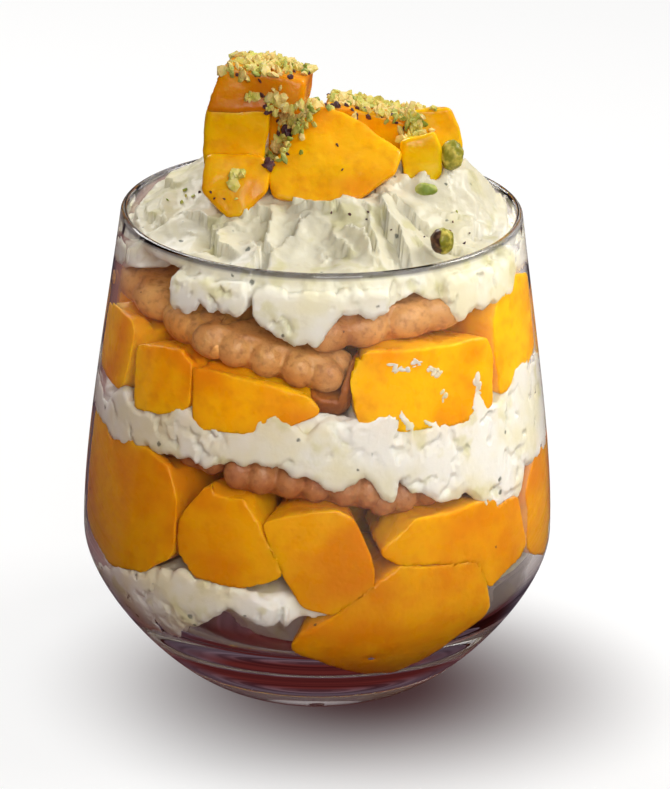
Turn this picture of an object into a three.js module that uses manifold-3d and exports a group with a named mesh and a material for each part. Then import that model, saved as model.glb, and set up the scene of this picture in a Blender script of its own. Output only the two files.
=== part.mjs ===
// A mango trifle in a stemless tumbler, in millimetres, +Z up.
// The origin is the centre of the glass's flat foot, and the side that is seen first faces -Y.
// From the floor of the glass upwards: cream, mango, butter biscuits, cream, mango, biscuits and
// a mound of cream that carries mango cubes, chopped pistachios and a few larger pistachio pieces.
import * as THREE from "three";
import { mergeVertices } from "three/addons/utils/BufferGeometryUtils.js";
import { ConvexGeometry } from "three/addons/geometries/ConvexGeometry.js";
import { ImprovedNoise } from "three/addons/math/ImprovedNoise.js";
import Module from "manifold-3d";

const wasm = await Module();
wasm.setup();

// Driving dimensions ---------------------------------------------------------------------------

const glass = {
  height: 95,
  rimRadius: 38.2,
  bellyRadius: 46,
  bellyHeight: 30.2,
  footRadius: 21,
  wall: 2, // at the belly
  rimWall: 1.5,
  floor: 8.5, // thickness of the solid glass under the food
};
const gap = 0.3; // clearance between two pieces that touch
const segments = { glass: 40, food: 30, cream: 38 }; // round the axis
// lobe: pitch of the scalloped edge, ear: size of its corners, snap: how far the broken end juts out
const biscuit = { thickness: 7.2, bevel: 1.4, lobe: 5.2, ear: 3.4, snap: 1.6 };

const colours = {
  glass: 0xdfe6e8,
  cream: 0xf1eddf,
  mango: 0xf4ad10,
  biscuit: 0xb9793c,
  pistachio: 0xa8a044,
};

// Angles are in degrees round the glass: 0 faces -Y, and 90 faces +X.
const { degToRad, lerp, smoothstep } = THREE.MathUtils;
const onCircle = (angle, radius) => [
  radius * Math.sin(degToRad(angle)),
  -radius * Math.cos(degToRad(angle)),
];
const angleBetween = (a, b) => Math.abs(((a - b + 540) % 360) - 180);

// Solids ---------------------------------------------------------------------------------------

// A closed three.js geometry as a solid whose faces point out.
function toSolid(geometry) {
  const bare = geometry.clone();
  bare.deleteAttribute("normal");
  bare.deleteAttribute("uv");
  const merged = mergeVertices(bare, 1e-4);
  const triVerts = new Uint32Array(merged.index.array);
  const vertProperties = new Float32Array(merged.attributes.position.array);
  const make = () => new wasm.Manifold(new wasm.Mesh({ numProp: 3, vertProperties, triVerts }));
  const solid = make();
  if (solid.volume() > 0) return solid;
  for (let i = 0; i < triVerts.length; i += 3) {
    [triVerts[i + 1], triVerts[i + 2]] = [triVerts[i + 2], triVerts[i + 1]];
  }
  return make();
}

function toGeometry(solid) {
  const mesh = solid.getMesh();
  const geometry = new THREE.BufferGeometry();
  geometry.setAttribute("position", new THREE.BufferAttribute(mesh.vertProperties, 3));
  geometry.setIndex(new THREE.BufferAttribute(mesh.triVerts, 1));
  geometry.computeVertexNormals();
  return geometry;
}

// The largest body of a solid: loose scraps of a cut are dropped.
function largestBody(solid) {
  return solid.decompose().reduce((a, b) => (a.volume() > b.volume() ? a : b));
}

const join = (solids) => solids.reduce((a, b) => a.add(b));

// Numbers from 0 to 1, the same on each run.
function seeded(seed) {
  let state = seed;
  return () => {
    state = (state * 1664525 + 1013904223) % 4294967296;
    return state / 4294967296;
  };
}

// The tumbler ----------------------------------------------------------------------------------

const point = (r, z) => new THREE.Vector2(r, z);

// Foot to belly, then belly to rim, as two smooth curves.
function outerProfile() {
  const { height, rimRadius, bellyRadius, bellyHeight, footRadius } = glass;
  const taper = height - bellyHeight;
  const lower = new THREE.CubicBezierCurve(
    point(footRadius, 0),
    point(lerp(footRadius, bellyRadius, 0.3), 0),
    point(bellyRadius, bellyHeight * 0.67),
    point(bellyRadius, bellyHeight),
  );
  const upper = new THREE.CubicBezierCurve(
    point(bellyRadius, bellyHeight),
    point(bellyRadius, bellyHeight + taper * 0.25),
    point(lerp(rimRadius, bellyRadius, 0.4), height - taper * 0.35),
    point(rimRadius, height - glass.rimWall / 2),
  );
  return [...lower.getPoints(7), ...upper.getPoints(4).slice(1)];
}

// The bowl that the food fills, from the middle of its floor up to the rim.
function innerProfile() {
  const { height, rimRadius, bellyRadius, bellyHeight, wall, rimWall, floor } = glass;
  const taper = height - bellyHeight;
  const belly = bellyRadius - wall;
  const bowl = new THREE.CubicBezierCurve(
    point(0, floor),
    point(28, floor),
    point(belly, bellyHeight * 0.56),
    point(belly, bellyHeight + 1),
  );
  const side = new THREE.CubicBezierCurve(
    point(belly, bellyHeight + 1),
    point(belly, bellyHeight + taper * 0.25),
    point(lerp(rimRadius - rimWall, belly, 0.4), height - taper * 0.35),
    point(rimRadius - rimWall, height - rimWall / 2),
  );
  return [...bowl.getPoints(5), ...side.getPoints(3).slice(1)];
}

function rimArc() {
  const radius = glass.rimWall / 2;
  const arc = new THREE.EllipseCurve(
    glass.rimRadius - radius, glass.height - radius, radius, radius, 0, Math.PI,
  );
  return arc.getPoints(4).slice(1, -1);
}

const turned = (profile, around = segments.glass) =>
  new THREE.LatheGeometry(profile, around).rotateX(Math.PI / 2);

function makeGlass() {
  return toSolid(turned([point(0, 0), ...outerProfile(), ...rimArc(), ...innerProfile().reverse()]));
}

const bowlProfile = innerProfile();

// The space inside the glass, and straight up above it, less a clearance to the wall.
function bowlSpace(clearance) {
  const top = 150; // above everything in it
  const inside = bowlProfile.map((p) => point(Math.max(p.x - clearance, 0), p.y + clearance));
  const rim = inside[inside.length - 1].x;
  return toSolid(turned([...inside, point(rim, top), point(0, top)], segments.food));
}

// Inner radius of the glass at a height.
function bowlRadius(z) {
  const above = bowlProfile.findIndex((p) => p.y >= z);
  if (above === -1) return bowlProfile[bowlProfile.length - 1].x;
  if (above === 0) return 0;
  const [low, high] = [bowlProfile[above - 1], bowlProfile[above]];
  return lerp(low.x, high.x, (z - low.y) / (high.y - low.y));
}

// Mango ----------------------------------------------------------------------------------------

const average = (points) =>
  points.reduce((sum, p) => sum.add(p), new THREE.Vector3()).divideScalar(points.length);

// A chunk whose corners are given. Its corners go out further than grow, so that its faces, which
// lie aslant to that, go out by grow at least.
function hullSolid(corners, grow = 0) {
  const middle = average(corners);
  const slant = 2.5;
  return toSolid(new ConvexGeometry(corners.map((corner) => {
    const outwards = corner.clone().sub(middle).normalize();
    return corner.clone().addScaledVector(outwards, grow * slant);
  })));
}

// A knife-cut chunk: the hull of its corners, or a box with cut-off edges whose corners are each
// pulled a little off square. size is [width, depth, height], and taper narrows it towards the
// back. With grow it is the plain box, larger on every side, that cuts its neighbours.
function chunkSolid({ corners, size, at, turn, seed, taper = 0, grow = 0 }) {
  if (corners) return hullSolid(corners, grow);
  const edge = 1.7;
  const uneven = 0.12;
  const random = seeded(seed * 7919 + 17);
  const axes = [0, 1, 2];
  const tips = Array.from({ length: 8 }, (_, corner) => {
    const side = (axis) => ((corner >> axis) & 1 ? 1 : -1);
    const pull = (axis) => (random() - 0.5) * uneven * size[axis];
    const tip = axes.map((axis) => side(axis) * (size[axis] / 2 + grow) + pull(axis));
    if (side(1) > 0) tip[0] *= 1 - taper;
    return new THREE.Vector3(...tip);
  });
  const points = tips.flatMap((tip, corner) => {
    const along = axes.map((axis) => tips[corner ^ (1 << axis)].clone().sub(tip).normalize());
    return axes.map((axis) => {
      const cut = edge * lerp(0.8, 1.3, random());
      const [u, v] = [along[(axis + 1) % 3], along[(axis + 2) % 3]];
      return tip.clone().addScaledVector(u, cut).addScaledVector(v, cut);
    });
  });
  const hull = new ConvexGeometry(grow ? tips : points);
  return toSolid(hull.applyMatrix4(placing(at, turn)));
}

// turn is [roll, pitch, yaw] in degrees: about -Y seen from the front, about X, and about Z.
function placing(at, turn) {
  const [roll, pitch, yaw] = turn.map(degToRad);
  const rotation = new THREE.Matrix4().makeRotationFromEuler(
    new THREE.Euler(pitch, -roll, yaw, "ZXY"),
  );
  return new THREE.Matrix4().makeTranslation(...at).multiply(rotation);
}

// A chunk that is pressed to the glass: its place is an angle and a height, and bite is how far
// it would reach into the wall before it is cut flush.
function wallChunk({ angle, z, size, roll, seed, bite = 2.5 }) {
  const radius = bowlRadius(z) - size[1] / 2 + bite;
  const taper = (size[1] / radius) * 0.7;
  return { at: [...onCircle(angle, radius), z], turn: [roll, 0, angle], size, seed, taper };
}

// A chunk pressed to the glass whose face there has a corner at each [angle, height]. Its far
// side is that face shrunk about its own mean angle and height.
function faceChunk({ face, depth = 16, bite = 5, shrink = 0.85 }) {
  const mean = [0, 1].map((k) => face.reduce((sum, corner) => sum + corner[k], 0) / face.length);
  const corner = (angle, radius, z) => new THREE.Vector3(...onCircle(angle, radius), z);
  const corners = face.flatMap(([angle, z]) => [
    corner(angle, bowlRadius(z) + bite, z),
    corner(lerp(mean[0], angle, shrink), bowlRadius(z) - depth, lerp(mean[1], z, shrink)),
  ]);
  return { corners };
}

const byWall = (chunk) => (chunk.face ? faceChunk(chunk) : wallChunk(chunk));

const upperMango = [
  { angle: -71, z: 71.5, size: [15, 17, 14], roll: -4 },
  { face: [[-56.7, 74.7], [-35.8, 77.8], [-35.4, 67.3], [-43.6, 64.2], [-54.8, 62.9]] },
  {
    face: [
      [-35, 74.8], [-31.7, 75.2], [-13.9, 72.7], [-3.7, 72.5], [0.5, 69.7], [-5.7, 67.5],
      [-15.2, 64.7], [-33.5, 63.8],
    ],
  },
  {
    face: [
      [9.4, 80.5], [50.6, 78.4], [52.4, 74.8], [50.8, 65.9], [43.3, 63.9], [14.7, 65.7],
      [9.4, 67.8], [8.1, 75.1],
    ],
  },
  { face: [[54, 81], [62, 88], [82, 84], [80, 70], [64.5, 67.7], [54.2, 66.5]] },
];
const lowerMango = [
  {
    face: [
      [-80, 56], [-60, 57.5], [-40.2, 55.5], [-36.6, 49.1], [-36.8, 38.2], [-45.4, 32.3],
      [-61.4, 29.6], [-80, 35],
    ],
  },
  {
    face: [
      [-28.1, 54.2], [-23.4, 55.7], [-16.9, 50.9], [-14.2, 46.8], [-8.2, 38.1], [-16.1, 35],
      [-29.5, 34.6], [-35.1, 39.3], [-35.4, 45],
    ],
  },
  {
    face: [
      [-6.3, 23.6], [7.1, 30.9], [20.2, 39.8], [42.8, 36.4], [47.9, 26.4], [35, 19.2],
      [24.8, 14.6], [14.7, 15.2], [6.1, 19.4],
    ],
    depth: 20,
  },
  {
    face: [
      [-13.2, 47.9], [-8, 50.1], [4.4, 51.3], [8.6, 49.5], [13.9, 39], [12.7, 33.1],
      [5.9, 29.6], [-3.8, 32.5], [-7.2, 38.1],
    ],
  },
  {
    face: [
      [15.3, 42.6], [24.1, 48.2], [43.3, 48], [58.7, 45.7], [62, 34.4], [47.4, 30],
      [41.1, 35.9], [20.7, 39],
    ],
  },
  { face: [[62.8, 45], [70, 51], [92, 49], [90, 32], [76, 28], [62.9, 33]] },
];

// The back of the glass is filled by a rule: chunks of the same kind, side by side.
function backRing(count, from, to, z, height, seed) {
  const random = seeded(seed);
  const width = ((degToRad(to - from) * bowlRadius(z)) / count) * 0.98;
  return Array.from({ length: count }, (_, i) => ({
    angle: lerp(from, to, (i + 0.5) / count),
    z: z + (random() - 0.5) * 3,
    size: [width * lerp(0.9, 1.05, random()), lerp(15, 18, random()), height * lerp(0.88, 1.1, random())],
    roll: (random() - 0.5) * 30,
  }));
}

function innerChunks(z, height) {
  return [20, 140, 260].map((angle) => ({
    at: [...onCircle(angle, 12.5), z],
    turn: [angle, 8, angle * 2],
    size: [19, 17, height],
  }));
}

// Biscuits -------------------------------------------------------------------------------------

// Half of a rectangular butter biscuit: scalloped on three sides with a larger ear at each
// corner, and broken off straight on the fourth. The scalloped front edge faces -Y at y = 0.
function biscuitShape(width, depth, lobe, rise) {
  const { ear } = biscuit;
  const shape = new THREE.Shape();
  const half = width / 2;
  const bump = (x0, y0, x1, y1) => {
    shape.lineTo((x0 + x1) / 2 + (y1 - y0) * rise, (y0 + y1) / 2 + (x0 - x1) * rise);
    shape.lineTo(x1, y1);
  };
  const row = (x0, y0, x1, y1) => {
    const count = Math.max(1, Math.round(Math.hypot(x1 - x0, y1 - y0) / lobe));
    for (let i = 0; i < count; i++) {
      bump(
        lerp(x0, x1, i / count), lerp(y0, y1, i / count),
        lerp(x0, x1, (i + 1) / count), lerp(y0, y1, (i + 1) / count),
      );
    }
  };
  const side = ear + biscuit.lobe;
  shape.moveTo(-half, depth);
  shape.lineTo(-half, side);
  row(-half, side, -half, ear);
  bump(-half, ear, -half + ear, 0);
  row(-half + ear, 0, half - ear, 0);
  bump(half - ear, 0, half, ear);
  row(half, ear, half, side);
  shape.lineTo(half, depth);
  shape.lineTo(half * 0.35, depth - 2.2);
  shape.lineTo(-half * 0.3, depth + biscuit.snap);
  return shape;
}

// With grow it is a plain box, larger on every side, that cuts its neighbours.
function biscuitSolid({ width, depth, at, turn, lobe, rise, grow = 0 }) {
  const { thickness, bevel } = biscuit;
  if (grow) {
    const reach = Math.max(lobe * rise, biscuit.lobe * rise, biscuit.snap);
    const box = new THREE.BoxGeometry(
      width + 2 * (reach + grow), depth + 2 * (reach + grow), thickness + 2 * grow,
    );
    return toSolid(box.translate(0, depth / 2, 0).applyMatrix4(placing(at, turn)));
  }
  const body = new THREE.ExtrudeGeometry(biscuitShape(width, depth, lobe, rise), {
    depth: thickness - 2 * bevel,
    bevelThickness: bevel,
    bevelSize: bevel,
    bevelOffset: -bevel,
    bevelSegments: 1,
  });
  return toSolid(body.translate(0, 0, bevel - thickness / 2).applyMatrix4(placing(at, turn)));
}

// Its front edge lies inset from the glass by the sagitta of its own width.
function wallBiscuit({
  angle, z, width, depth = 24, roll = 0, pitch = 0, inset = 0.4, lobe = biscuit.lobe, rise = 0.36,
}) {
  const radius = bowlRadius(z);
  const chord = Math.sqrt(radius * radius - (width / 2) ** 2) - biscuit.bevel - inset;
  return { width, depth, lobe, rise, at: [...onCircle(angle, chord), z], turn: [roll, pitch, angle] };
}

const upperBiscuits = [
  { angle: -57, z: 79.6, width: 28, roll: -6, pitch: 12, lobe: 11, rise: 0.12 },
  { angle: -16, z: 76.4, width: 25, roll: -13, pitch: 14, lobe: 6, rise: 0.3 },
  { angle: 4.5, z: 72.5, width: 13, depth: 14, roll: 80, inset: 2, rise: 0.2 },
  { angle: 21, z: 83, width: 24, roll: 5, pitch: 8, lobe: 8, rise: 0.22 },
  { angle: 115, z: 83.5, width: 28, roll: 5 },
  { angle: 168, z: 81.5, width: 31, roll: -4 },
  { angle: 222, z: 82.5, width: 29, roll: 6 },
];
const lowerBiscuits = [
  { angle: -47, z: 57.4, width: 24, roll: -3, inset: 1 },
  { angle: -4, z: 54, width: 27, roll: -7, pitch: 5 },
  { angle: 32, z: 51.3, width: 22, roll: 2, inset: 1 },
  { angle: 68, z: 50.5, width: 24, roll: 6, inset: 1 },
  { angle: 120, z: 54, width: 30, roll: -5 },
  { angle: 178, z: 55, width: 32, roll: 4 },
  { angle: 240, z: 54.5, width: 30, roll: -4 },
];

// Cream ----------------------------------------------------------------------------------------

const relief = new ImprovedNoise();
const bumps = (x, y, scale, seed) => relief.noise(x / scale, y / scale, seed * 5.37);

// Sharp-crested folds, as a spoon leaves them, that run along a direction.
function folds(x, y, heading, length, width, seed) {
  const [s, c] = [Math.sin(degToRad(heading)), Math.cos(degToRad(heading))];
  const [along, across] = [(x * c + y * s) / length, (y * c - x * s) / width];
  return 1 - 2.2 * Math.abs(relief.noise(along, across, seed * 3.1));
}

// How far cream hangs below its layer against the glass: [angle, reach, half width in degrees].
function drip(list, angle) {
  return list.reduce((most, [at, reach, half]) => {
    const t = angleBetween(angle, at) / half;
    return t < 1 ? Math.max(most, reach * Math.cos((t * Math.PI) / 2) ** 0.7) : most;
  }, 0);
}

function backDrips(seed) {
  const random = seeded(seed);
  return Array.from({ length: 9 }, (_, i) => [
    92 + i * 21 + random() * 8, lerp(2, 6, random()), lerp(5, 10, random()),
  ]);
}

// A closed layer between two height functions of (x, y, angle, radius), wider than the glass.
// Its upper side has a ring of points at each of radii, and its lower side at each of under.
function layerSolid({ top, bottom, radii, under = [22, 34] }) {
  const around = segments.cream;
  const edge = glass.bellyRadius + 2;
  const positions = [];
  const index = [];
  const sheet = (height, rings, up) => {
    const start = positions.length / 3;
    positions.push(0, 0, height(0, 0, 0, 0));
    rings.forEach((radius) => {
      for (let i = 0; i < around; i++) {
        const angle = (i / around) * 360;
        const [x, y] = onCircle(angle, radius);
        positions.push(x, y, height(x, y, angle, radius));
      }
    });
    const at = (ring, i) => start + 1 + ring * around + (i % around);
    const face = (a, b, c) => index.push(...(up ? [a, b, c] : [a, c, b]));
    for (let i = 0; i < around; i++) {
      face(start, at(0, i), at(0, i + 1));
      for (let ring = 1; ring < rings.length; ring++) {
        face(at(ring - 1, i), at(ring, i), at(ring, i + 1));
        face(at(ring - 1, i), at(ring, i + 1), at(ring - 1, i + 1));
      }
    }
    return (i) => at(rings.length - 1, i);
  };
  const topEdge = sheet(top, [...radii, edge], true);
  const bottomEdge = sheet(bottom, [...under, edge], false);
  for (let i = 0; i < around; i++) {
    index.push(topEdge(i), bottomEdge(i), bottomEdge(i + 1));
    index.push(topEdge(i), bottomEdge(i + 1), topEdge(i + 1));
  }
  const geometry = new THREE.BufferGeometry();
  geometry.setAttribute("position", new THREE.BufferAttribute(new Float32Array(positions), 3));
  geometry.setIndex(index);
  return toSolid(geometry);
}

// 0 in the middle of the glass and 1 at the wall.
const nearWall = (radius, from = 28, to = 38) => smoothstep(radius, from, to);
// 1 within half of an angle and 0 past it.
const within = (angle, at, half) => 1 - smoothstep(angleBetween(angle, at), half * 0.7, half);

const mound = {
  edge: 91.8, // where the cream meets the glass
  crown: 101.5,
  dollops: [
    // [x, y, height, radius]
    [22, -4, 5.5, 8],
    [28, 4, 6.5, 8],
    [-12, 6, 3.5, 9],
    [6, 10, 2, 10],
    [-24, 14, 3, 10],
    [9, -20, 2.5, 6],
    [-9, -19, -2.5, 7],
  ],
  drips: [
    [-72, 1.5, 6], [-40, 6.5, 5], [-25, 4, 9], [-9, 10, 8], [2, 8, 4],
    [17, 5, 8], [33, 2, 6], [42, 10, 5], [52, 7, 8], [64, 7, 8],
  ],
};

function moundTop(x, y, angle, radius) {
  const dome = lerp(mound.crown, mound.edge, smoothstep(radius, 13, 38));
  const dollops = mound.dollops.reduce(
    (sum, [cx, cy, h, r]) => sum + h * Math.exp(-(((x - cx) ** 2 + (y - cy) ** 2) / (r * r))), 0,
  );
  const spooned = 1.5 * folds(x, y, -48 + radius * 1.2, 26, 8, 1) + 0.8 * folds(x, y, 30, 14, 7, 4);
  return dome + dollops * (1 - 0.8 * nearWall(radius, 30, 37)) + spooned - 0.8;
}

function moundBottom(x, y, angle, radius) {
  const hang = drip(mound.drips.concat(backDrips(31)), angle) * nearWall(radius, 30, 36);
  return 91 - 2.5 * within(angle, 60, 30) + 1.2 * bumps(x, y, 9, 2) - hang;
}

const middleCream = {
  top: 66,
  bottom: 58.5,
  // [angle, change of the upper edge, half width]
  swells: [
    [-80, -2, 14], [-62, -4, 10], [-20, -2, 10], [-11, 3, 6],
    [2, 1.5, 8], [45, 6, 5], [62, 6, 9], [80, 2, 10],
  ],
  drips: [
    [-66, 4, 14], [-46, 2, 10], [-2, 2.5, 6], [5, 4.5, 4], [19, 7.5, 4.5], [27, 6.5, 5],
    [35, 9, 6], [47, 12.5, 7], [59, 14, 7], [68, 9, 8],
  ],
};

function middleTop(x, y, angle, radius) {
  const swell = middleCream.swells.reduce(
    (sum, [at, rise, half]) => sum + rise * within(angle, at, half), 0,
  );
  const wavy = 2.2 * folds(x, y, angle + 90, 15, 9, 6);
  return middleCream.top + swell * nearWall(radius) + wavy - 0.6;
}

function middleBottom(x, y, angle, radius) {
  const hang = drip(middleCream.drips.concat(backDrips(77)), angle) * nearWall(radius, 32, 39);
  return middleCream.bottom + 1.4 * bumps(x, y, 8, 9) - hang;
}

// It has not run right down everywhere: [angle, half width, height of the bare glass below it].
const bottomCream = { top: 33, bare: [[-34, 58, 21], [62, 54, 31.5]] };

function bottomTop(x, y, angle, radius) {
  const slope = 7 * within(angle, -82, 34) * nearWall(radius);
  return bottomCream.top - slope + 2 * folds(x, y, angle + 60, 16, 10, 12);
}

function bottomBottom(x, y, angle, radius) {
  const rise = bottomCream.bare.reduce(
    (most, [at, half, height]) => Math.max(most, height * within(angle, at, half)), 0,
  );
  const edge = rise * (1 + 0.12 * bumps(x, y, 7, 15)) * nearWall(radius, 18, 33);
  return Math.min(edge, bottomTop(x, y, angle, radius) - 1.5);
}

// Toppings -------------------------------------------------------------------------------------

// A chunk on top: its face in front has a corner at each [x, z] and lies back by lean for each
// mm up, with blunt points [x, z, height] on it. Its far side is that face again, shrunk, at the
// offset back.
function topChunk({ face, front, lean = 0, crowns = [], back, shrink = 0.85, grow }) {
  const foot = Math.min(...face.map(([, z]) => z));
  const onFace = ([x, z, height = 0]) => new THREE.Vector3(x, front + lean * (z - foot) - height, z);
  const near = face.map(onFace);
  const middle = average(near);
  const offset = new THREE.Vector3(...back);
  const far = near.map((p) => middle.clone().lerp(p, shrink).add(offset));
  return hullSolid([...near, ...crowns.map(onFace), ...far], grow);
}

const cubes = {
  // the large chunk in front, and the ones that lean on it
  front: {
    face: [
      [-10.5, 105], [-4, 113], [-0.5, 115.2], [4, 114.5], [14.6, 108.5], [13.7, 105.5],
      [7, 101.8], [2, 100.5], [-4, 100.8], [-9.2, 102],
    ],
    crowns: [[-1.5, 108, 1.6], [3.5, 107, 1.8]],
    front: -17, lean: 1.15, back: [0, 8, -5],
  },
  left: {
    face: [
      [-21.5, 108.5], [-11, 108.5], [-9.5, 106], [-10, 102.5],
      [-14.5, 98.5], [-17.5, 98], [-22.3, 102.5],
    ],
    crowns: [[-15, 103.5, 1.2]],
    front: -17, lean: 0.6, back: [0, 8, -3],
  },
  right: {
    face: [[14.6, 110], [21, 112.2], [22.6, 108.5], [22.4, 104], [20.5, 101.5], [15, 103]],
    front: -7, lean: 0.15, back: [0, 9, -2],
  },
  corner: {
    face: [[15.8, 113], [24, 113.8], [26, 110], [27, 106], [25.5, 102], [17, 101]],
    front: 2, lean: 0.15, back: [0, 10, -2],
  },
  lower: {
    face: [[-21.5, 116.4], [-22.2, 108], [-21.5, 102.5], [-11.5, 102.5], [-9.6, 116.5]],
    front: -8, back: [0, 13, 0], shrink: 0.95,
  },
  upper: {
    face: [[-21.8, 115.8], [-20.5, 120.4], [-18.6, 124.6], [-15, 123.6], [-3.4, 121.8], [-4.4, 115.6]],
    front: -8.5, lean: 0.15, back: [2.6, 12, -0.5], shrink: 0.92,
  },
  back: { face: [[0.5, 114], [20, 109.5], [17, 97], [-2.5, 101.5]], front: 5.5, back: [0, 13, 0] },
  middle: {
    face: [[-10.6, 116], [-3.5, 115.5], [1.6, 112.5], [1.8, 100.5], [-10.4, 100.3]],
    front: -1, back: [0, 12, -1],
  },
};

// Chopped pistachio, fused to the cube that carries it: scattered over a patch of its top.
const scatters = {
  front: { count: 6, patch: [[-8, -9], [12, 3]], seed: 5 },
  middle: { count: 6, patch: [[-9, -1], [0, 9]], seed: 31 },
  upper: { count: 10, patch: [[-19, -7], [-3, 5]], seed: 9 },
  back: { count: 11, patch: [[0, 5.5], [18, 14]], seed: 13 },
  right: { count: 3, patch: [[14, -5], [20, 4]], seed: 17 },
};

function crumb(x, y, z, random) {
  const size = lerp(0.9, 1.8, random());
  const grain = new THREE.OctahedronGeometry(size, 0);
  grain.scale(lerp(0.7, 1.3, random()), lerp(0.7, 1.3, random()), lerp(0.6, 1, random()));
  grain.rotateX(random() * 3).rotateZ(random() * 6);
  return toSolid(grain.translate(x, y, z + size * 0.25));
}

// Height of a solid's surface straight below a point, or null beside it.
function surfaceHeight(geometry, x, y) {
  const ray = new THREE.Raycaster(new THREE.Vector3(x, y, 200), new THREE.Vector3(0, 0, -1));
  const mesh = new THREE.Mesh(geometry, new THREE.MeshBasicMaterial({ side: THREE.DoubleSide }));
  const hit = ray.intersectObject(mesh)[0];
  return hit ? hit.point.z : null;
}

function withCrumbs(solid, { count, patch, seed }, others) {
  const random = seeded(seed);
  const geometry = toGeometry(solid);
  const box = new THREE.Box3().setFromBufferAttribute(geometry.attributes.position);
  let result = solid;
  for (let made = 0, tries = 0; made < count && tries < count * 6; tries++) {
    const x = lerp(patch[0][0], patch[1][0], random());
    const y = lerp(patch[0][1], patch[1][1], random());
    const z = surfaceHeight(geometry, x, y);
    if (z === null || z < lerp(box.min.z, box.max.z, 0.4)) continue;
    const grain = crumb(x, y, z, random);
    if (others.some((other) => grain.minGap(other, gap) < gap)) continue;
    result = result.add(grain);
    made++;
  }
  return largestBody(result);
}

// Larger pistachio pieces that sit on the cream or on a cube.
const kernels = {
  front: { at: [22, -25.6, 97.4], radius: 2.1, stretch: [1, 0.9, 1.15] },
  right: { at: [24.2, -4.6, 107], radius: 2.2, stretch: [1, 0.9, 1.3] },
  sliver: { at: [19.2, -14.6, 103.6], radius: 1.6, stretch: [1.3, 0.8, 0.7] },
};

function kernelSolid({ at, radius, stretch, grow = 0 }) {
  const kernel = new THREE.DodecahedronGeometry(radius).scale(...stretch);
  const outwards = 1 + grow / (radius * Math.min(...stretch));
  return toSolid(kernel.scale(outwards, outwards, outwards).translate(...at));
}

// Putting it together --------------------------------------------------------------------------

const placed = new Map(); // name: solid and material
const taken = []; // what is in the glass already, each piece grown by the gap

const finish = (color, roughness, more = {}) =>
  new THREE.MeshStandardMaterial({ color, roughness, metalness: 0, ...more });
const materials = {
  glass: finish(colours.glass, 0.05, { transparent: true, opacity: 0.3 }),
  cream: finish(colours.cream, 0.55),
  mango: finish(colours.mango, 0.35),
  biscuit: finish(colours.biscuit, 0.8),
  pistachio: finish(colours.pistachio, 0.6),
};

const inBowl = bowlSpace(gap);

// Cuts a new piece by the glass and by the pieces before it.
function fit(solid) {
  const near = taken.filter((other) => other.intersect(solid).volume() > 0);
  const inside = solid.intersect(inBowl);
  return largestBody(near.length ? inside.subtract(join(near)) : inside);
}

function place(name, build, settings, material) {
  placed.set(name, { solid: fit(build(settings)), material });
  taken.push(build({ ...settings, grow: gap }));
}

const numbered = (name, i) => `${name}_${String(i + 1).padStart(2, "0")}`;

function placeAll(name, build, list, material) {
  list.forEach((settings, i) => place(numbered(name, i), build, { seed: i + 1, ...settings }, material));
}

placed.set("glass", { solid: makeGlass(), material: materials.glass });

placeAll("biscuit_lower", biscuitSolid, lowerBiscuits.map(wallBiscuit), materials.biscuit);
placeAll("biscuit_upper", biscuitSolid, upperBiscuits.map(wallBiscuit), materials.biscuit);

const lowerRing = [...lowerMango, ...backRing(5, 92, 268, 43, 19, 4)];
const upperRing = [...upperMango, ...backRing(5, 84, 268, 71.5, 14, 2)];
placeAll(
  "mango_lower", chunkSolid,
  [...lowerRing.map((c, i) => byWall({ seed: i + 40, ...c })), ...innerChunks(41, 16)],
  materials.mango,
);
placeAll(
  "mango_upper", chunkSolid,
  [...upperRing.map((c, i) => byWall({ seed: i + 60, ...c })), ...innerChunks(72, 13)],
  materials.mango,
);

Object.entries(cubes).forEach(([name, cube]) => {
  place(`mango_top_${name}`, topChunk, cube, materials.mango);
});
Object.entries(kernels).forEach(([name, kernel]) => {
  place(`pistachio_${name}`, kernelSolid, kernel, materials.pistachio);
});

const creams = {
  cream_bottom: { top: bottomTop, bottom: bottomBottom, radii: [32] },
  cream_middle: { top: middleTop, bottom: middleBottom, radii: [22, 36] },
  cream_top: { top: moundTop, bottom: moundBottom, radii: [12, 20, 27, 33] },
};
Object.entries(creams).forEach(([name, layer]) => {
  placed.set(name, { solid: fit(layerSolid(layer)), material: materials.cream });
});

Object.entries(scatters).forEach(([name, scatter]) => {
  const cube = placed.get(`mango_top_${name}`);
  const others = [...placed.values()].filter((piece) => piece !== cube).map((piece) => piece.solid);
  cube.solid = withCrumbs(cube.solid, scatter, others);
});

const trifle = new THREE.Group();
placed.forEach(({ solid, material }, name) => {
  const mesh = new THREE.Mesh(toGeometry(solid), material);
  mesh.name = name;
  trifle.add(mesh);
});

export default trifle;
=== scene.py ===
# A mango trifle in its tumbler. Settings are in millimetres and degrees, and mm makes metres.
# Angles round the glass: 0 faces -Y, the side that is seen first, and 90 faces +X.
import math
import random

import bpy
import numpy as np
from mathutils import Euler, Matrix, Vector, noise
from mathutils.bvhtree import BVHTree


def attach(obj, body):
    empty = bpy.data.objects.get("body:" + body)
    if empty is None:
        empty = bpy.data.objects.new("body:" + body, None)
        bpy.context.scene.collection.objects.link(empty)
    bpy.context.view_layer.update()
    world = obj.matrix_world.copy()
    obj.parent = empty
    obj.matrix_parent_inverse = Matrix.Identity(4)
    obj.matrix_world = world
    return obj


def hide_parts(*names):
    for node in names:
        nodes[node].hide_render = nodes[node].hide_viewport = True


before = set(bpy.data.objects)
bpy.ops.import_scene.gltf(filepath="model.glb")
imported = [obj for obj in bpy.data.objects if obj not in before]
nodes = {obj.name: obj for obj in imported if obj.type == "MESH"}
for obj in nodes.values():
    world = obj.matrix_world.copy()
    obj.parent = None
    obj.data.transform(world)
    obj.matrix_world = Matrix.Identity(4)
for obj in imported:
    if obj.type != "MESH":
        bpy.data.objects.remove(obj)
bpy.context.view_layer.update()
mm = 0.001
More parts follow.
